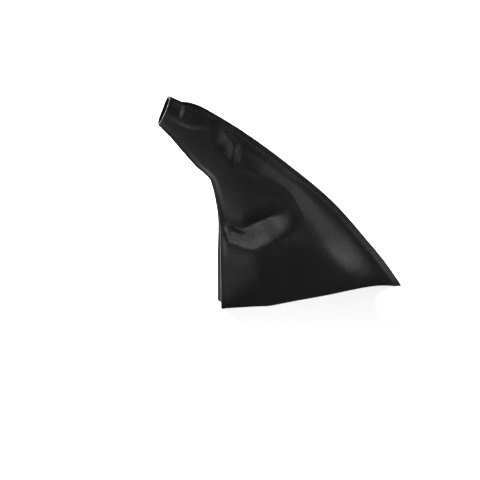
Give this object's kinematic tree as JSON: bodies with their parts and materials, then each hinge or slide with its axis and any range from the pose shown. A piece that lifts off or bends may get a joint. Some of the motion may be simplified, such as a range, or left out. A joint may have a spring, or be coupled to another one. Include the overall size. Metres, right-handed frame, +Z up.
{
  "type": "handbrake boot",
  "caption": "Soft black leatherette handbrake boot, seamed along its front and spine, widening from a slim hemmed collar to an open raw-edged base.",
  "frame": {"origin": "on the floor under the middle of the boot's bounding box", "axes": "+Z up from the hem it stands on; -X towards the collar and the front of the car; +Y towards the right panel"},
  "size_m": [0.2066, 0.0732, 0.1859],
  "materials": {
    "leatherette": "satin black, fine grain"
  },
  "bodies": {
    "root": {"left_panel": "leatherette", "right_panel": "leatherette"}
  },
  "joints": []
}
